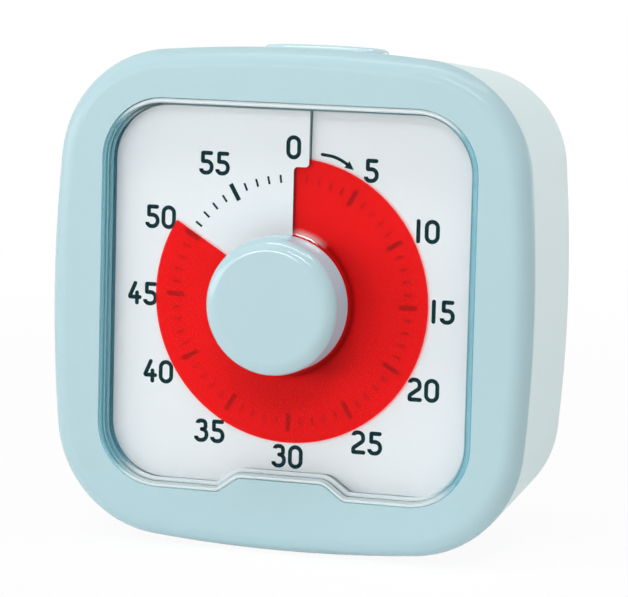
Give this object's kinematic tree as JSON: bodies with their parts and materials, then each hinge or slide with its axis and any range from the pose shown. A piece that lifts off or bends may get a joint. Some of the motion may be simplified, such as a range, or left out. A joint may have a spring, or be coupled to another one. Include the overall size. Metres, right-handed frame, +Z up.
{
  "type": "visual countdown timer",
  "caption": "Square desk countdown timer with rounded corners: a knob sweeps a red disc out through a slit in a numbered dial behind a clear cover.",
  "frame": {"origin": "on the surface the timer stands on, under the middle of its bounding box", "axes": "+Z up, -Y out of the dial towards the user, +X to the right of the dial seen from the front"},
  "size_m": [0.1094, 0.0594, 0.1099],
  "materials": {
    "case_blue": "satin moulded light blue ABS",
    "case_white": "satin moulded bluish white ABS",
    "knob_white": "satin moulded white ABS",
    "clear": "clear polished acrylic",
    "dial_white": "matt printed sheet",
    "disc_red": "matt red sheet",
    "natural_plastic": "natural moulded acetal",
    "frame_plastic": "moulded pale grey ABS",
    "brass": "turned",
    "spring_steel": "blued spring steel",
    "screw_steel": "zinc-plated steel",
    "magnet": "sintered magnet",
    "motor_iron": "stamped iron",
    "copper": "enamelled copper wire",
    "board_green": "solder mask",
    "component_black": "moulded epoxy",
    "component_can": "drawn metal can",
    "switch_white": "satin moulded",
    "cell_jacket": "plain printed sleeve over steel",
    "contact_nickel": "nickel-plated spring strip",
    "foot_rubber": "matt grey rubber"
  },
  "bodies": {
    "housing": {"front_bezel": "case_blue", "rear_shell": "case_white", "feet": "foot_rubber", "housing_screws": "screw_steel", "lens": "clear", "dial_plate": "dial_white", "inner_frame": "frame_plastic", "spindle_bush": "brass", "frame_screws": "screw_steel", "stator": "motor_iron", "coil_bobbin": "natural_plastic", "coil_winding": "copper", "movement_case": "natural_plastic", "movement_cover": "natural_plastic", "movement_screws": "screw_steel", "circuit_board": "board_green", "board_screws": "screw_steel", "controller_chip": "component_black", "crystal": "component_can", "buzzer": "component_black", "slide_switch": "component_black", "button_board": "board_green", "tact_switch": "component_black", "battery_cell": "cell_jacket", "plate_contact": "contact_nickel", "spring_contact": "contact_nickel"},
    "knob": {"knob_cap": "case_blue", "knob_base": "knob_white", "spindle": "brass", "clutch_washer": "spring_steel"},
    "disc": {"time_disc": "disc_red", "disc_hub": "natural_plastic"},
    "centre_wheel": {"centre_wheel": "natural_plastic"},
    "third_wheel": {"third_wheel": "natural_plastic"},
    "second_wheel": {"second_wheel": "natural_plastic"},
    "first_wheel": {"first_wheel": "natural_plastic"},
    "rotor": {"rotor_pinion": "natural_plastic", "rotor_magnet": "magnet"},
    "button": {"top_button": "case_blue", "switch_plunger": "component_black"},
    "sound_switch": {"switch_thumb": "switch_white"},
    "door": {"battery_door": "case_white"}
  },
  "joints": [
    {"name": "knob_turn", "type": "hinge", "parent": "housing", "child": "knob", "pos_m": [0, -0.01895, 0.0551], "axis": [0, 1, 0], "range_deg": [-302.1, 57.9]},
    {"name": "disc_lift", "type": "slide", "parent": "knob", "child": "disc", "axis": [0, -1, 0], "range_m": [-0.00092, 0.00018]},
    {"name": "first_wheel_spin", "type": "hinge", "parent": "housing", "child": "first_wheel", "pos_m": [0.01626, -0.00395, 0.05744], "axis": [0, -1, 0], "continuous": true},
    {"name": "rotor_spin", "type": "hinge", "parent": "housing", "child": "rotor", "pos_m": [0.01926, -0.00395, 0.05224], "axis": [0, -1, 0], "continuous": true},
    {"name": "second_wheel_spin", "type": "hinge", "parent": "housing", "child": "second_wheel", "pos_m": [0.01018, -0.00395, 0.06468], "axis": [0, -1, 0], "continuous": true},
    {"name": "third_wheel_spin", "type": "hinge", "parent": "housing", "child": "third_wheel", "pos_m": [0, -0.00395, 0.0653], "axis": [0, -1, 0], "continuous": true},
    {"name": "centre_wheel_spin", "type": "hinge", "parent": "housing", "child": "centre_wheel", "pos_m": [0, -0.00395, 0.0551], "axis": [0, -1, 0], "continuous": true},
    {"name": "button_press", "type": "slide", "parent": "housing", "child": "button", "axis": [0, 0, -1], "range_m": [0, 0.0008], "stiffness_N_per_m": 900, "springref_m": -0.0004},
    {"name": "sound_switch_slide", "type": "slide", "parent": "housing", "child": "sound_switch", "axis": [1, 0, 0], "range_m": [0, 0.0036]},
    {"name": "door_swing", "type": "hinge", "parent": "housing", "child": "door", "pos_m": [0, 0.0284, 0.01265], "axis": [-1, 0, 0], "range_deg": [0, 80]}
  ],
  "couplings": [
    {"joint": "disc_lift", "follows": "knob_turn", "m_per_rad": 0.00017507},
    {"joint": "rotor_spin", "follows": "first_wheel_spin", "ratio": -4},
    {"joint": "second_wheel_spin", "follows": "first_wheel_spin", "ratio": -0.125},
    {"joint": "third_wheel_spin", "follows": "first_wheel_spin", "ratio": 0.016667},
    {"joint": "centre_wheel_spin", "follows": "first_wheel_spin", "ratio": -0.0022222}
  ]
}
